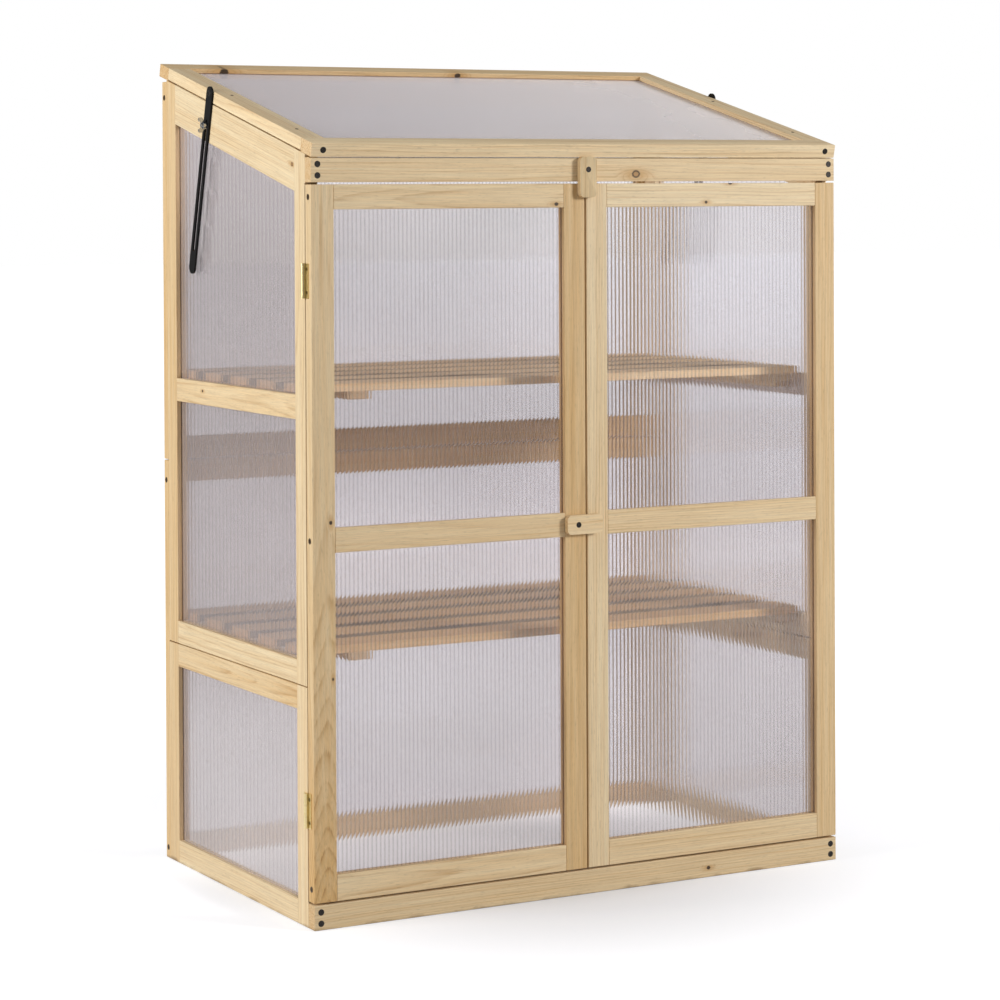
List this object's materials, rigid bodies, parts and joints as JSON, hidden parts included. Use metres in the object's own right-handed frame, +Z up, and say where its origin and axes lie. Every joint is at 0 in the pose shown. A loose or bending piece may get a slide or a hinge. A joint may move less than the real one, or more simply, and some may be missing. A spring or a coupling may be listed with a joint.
{
  "type": "wooden mini greenhouse",
  "caption": "Upright pine mini greenhouse glazed with twin-wall sheet, with double doors, a sloping lift-up lid on slotted stays and slatted shelves.",
  "frame": {"origin": "centre of the footprint on the ground, under the middle of the whole object's box", "axes": "+X to the right along the front, +Y to the back, +Z up; the doors face -Y"},
  "size_m": [0.7874, 0.4788, 1.0557],
  "materials": {
    "pine": "planed pine, dry, knots and grain showing",
    "pine_inside": "planed pine, dry",
    "twin_wall": "clear twin-wall polycarbonate with fine ribs",
    "brass": "stamped, slightly dull",
    "black_steel": "satin black",
    "zinc_steel": "bright zinc plate"
  },
  "bodies": {
    "cabinet": {"left_wall_front_stile": "pine", "left_wall_rear_stile": "pine", "left_wall_top_board": "pine", "left_wall_bottom_rail": "pine", "left_wall_glazing_bar": "pine", "left_wall_shelf_bearer": "pine_inside", "left_wall_upper_sheet": "twin_wall", "left_wall_lower_frame": "pine", "left_wall_lower_sheet": "twin_wall", "right_wall_front_stile": "pine", "right_wall_rear_stile": "pine", "right_wall_top_board": "pine", "right_wall_bottom_rail": "pine", "right_wall_glazing_bar": "pine", "right_wall_shelf_bearer": "pine_inside", "right_wall_upper_sheet": "twin_wall", "right_wall_lower_frame": "pine", "right_wall_lower_sheet": "twin_wall", "rear_wall_frame": "pine", "rear_wall_upper_sheet": "twin_wall", "rear_wall_lower_sheet": "twin_wall", "front_bottom_rail": "pine", "front_top_rail": "pine", "left_door_upper_hinge_wall_leaf": "brass", "left_door_lower_hinge_wall_leaf": "brass", "right_door_upper_hinge_wall_leaf": "brass", "right_door_lower_hinge_wall_leaf": "brass", "left_lid_hinge_wall_leaf": "brass", "right_lid_hinge_wall_leaf": "brass", "left_wing_bolt": "zinc_steel", "right_wing_bolt": "zinc_steel", "upper_shelf": "pine_inside", "lower_shelf": "pine_inside"},
    "left_door": {"left_door_hinge_stile": "pine", "left_door_meeting_stile": "pine", "left_door_top_rail": "pine", "left_door_bottom_rail": "pine", "left_door_glazing_bar": "pine", "left_door_sheet": "twin_wall", "left_door_upper_hinge_door_leaf": "brass", "left_door_lower_hinge_door_leaf": "brass"},
    "right_door": {"right_door_hinge_stile": "pine", "right_door_meeting_stile": "pine", "right_door_top_rail": "pine", "right_door_bottom_rail": "pine", "right_door_glazing_bar": "pine", "right_door_sheet": "twin_wall", "right_door_upper_hinge_door_leaf": "brass", "right_door_lower_hinge_door_leaf": "brass"},
    "lid": {"lid_front_rail": "pine", "lid_rear_rail": "pine", "lid_left_rail": "pine", "lid_right_rail": "pine", "lid_sheet": "twin_wall", "left_lid_hinge_lid_leaf": "brass", "right_lid_hinge_lid_leaf": "brass"},
    "left_stay": {"left_stay": "black_steel"},
    "right_stay": {"right_stay": "black_steel"},
    "top_turn_button": {"top_turn_button": "pine"},
    "middle_turn_button": {"middle_turn_button": "pine"}
  },
  "joints": [
    {"name": "left_door_swing", "type": "hinge", "parent": "cabinet", "child": "left_door", "pos_m": [-0.383, -0.21385, 0.463], "axis": [0, 0, -1], "range_deg": [0, 175]},
    {"name": "right_door_swing", "type": "hinge", "parent": "cabinet", "child": "right_door", "pos_m": [0.383, -0.21385, 0.463], "axis": [0, 0, 1], "range_deg": [0, 175]},
    {"name": "lid_lift", "type": "hinge", "parent": "cabinet", "child": "lid", "pos_m": [0, 0.2324, 1.03407], "axis": [-1, 0, 0], "range_deg": [0, 60]},
    {"name": "left_stay_turn", "type": "hinge", "parent": "lid", "child": "left_stay", "pos_m": [-0.38165, 0.0659, 1.01107], "axis": [1, 0, 0], "range_deg": [0, 30]},
    {"name": "right_stay_turn", "type": "hinge", "parent": "lid", "child": "right_stay", "pos_m": [0.38165, 0.0659, 1.01107], "axis": [1, 0, 0], "range_deg": [0, 30]},
    {"name": "top_button_turn", "type": "hinge", "parent": "cabinet", "child": "top_turn_button", "pos_m": [0, -0.2354, 0.911], "axis": [0, -1, 0], "range_deg": [-90, 90]},
    {"name": "middle_button_turn", "type": "hinge", "parent": "left_door", "child": "middle_turn_button", "pos_m": [-0.01625, -0.2354, 0.46644], "axis": [0, -1, 0], "range_deg": [-90, 90]}
  ],
  "couplings": [
    {"joint": "left_stay_turn", "follows": "lid_lift", "ratio": 0.5},
    {"joint": "right_stay_turn", "follows": "lid_lift", "ratio": 0.5}
  ]
}
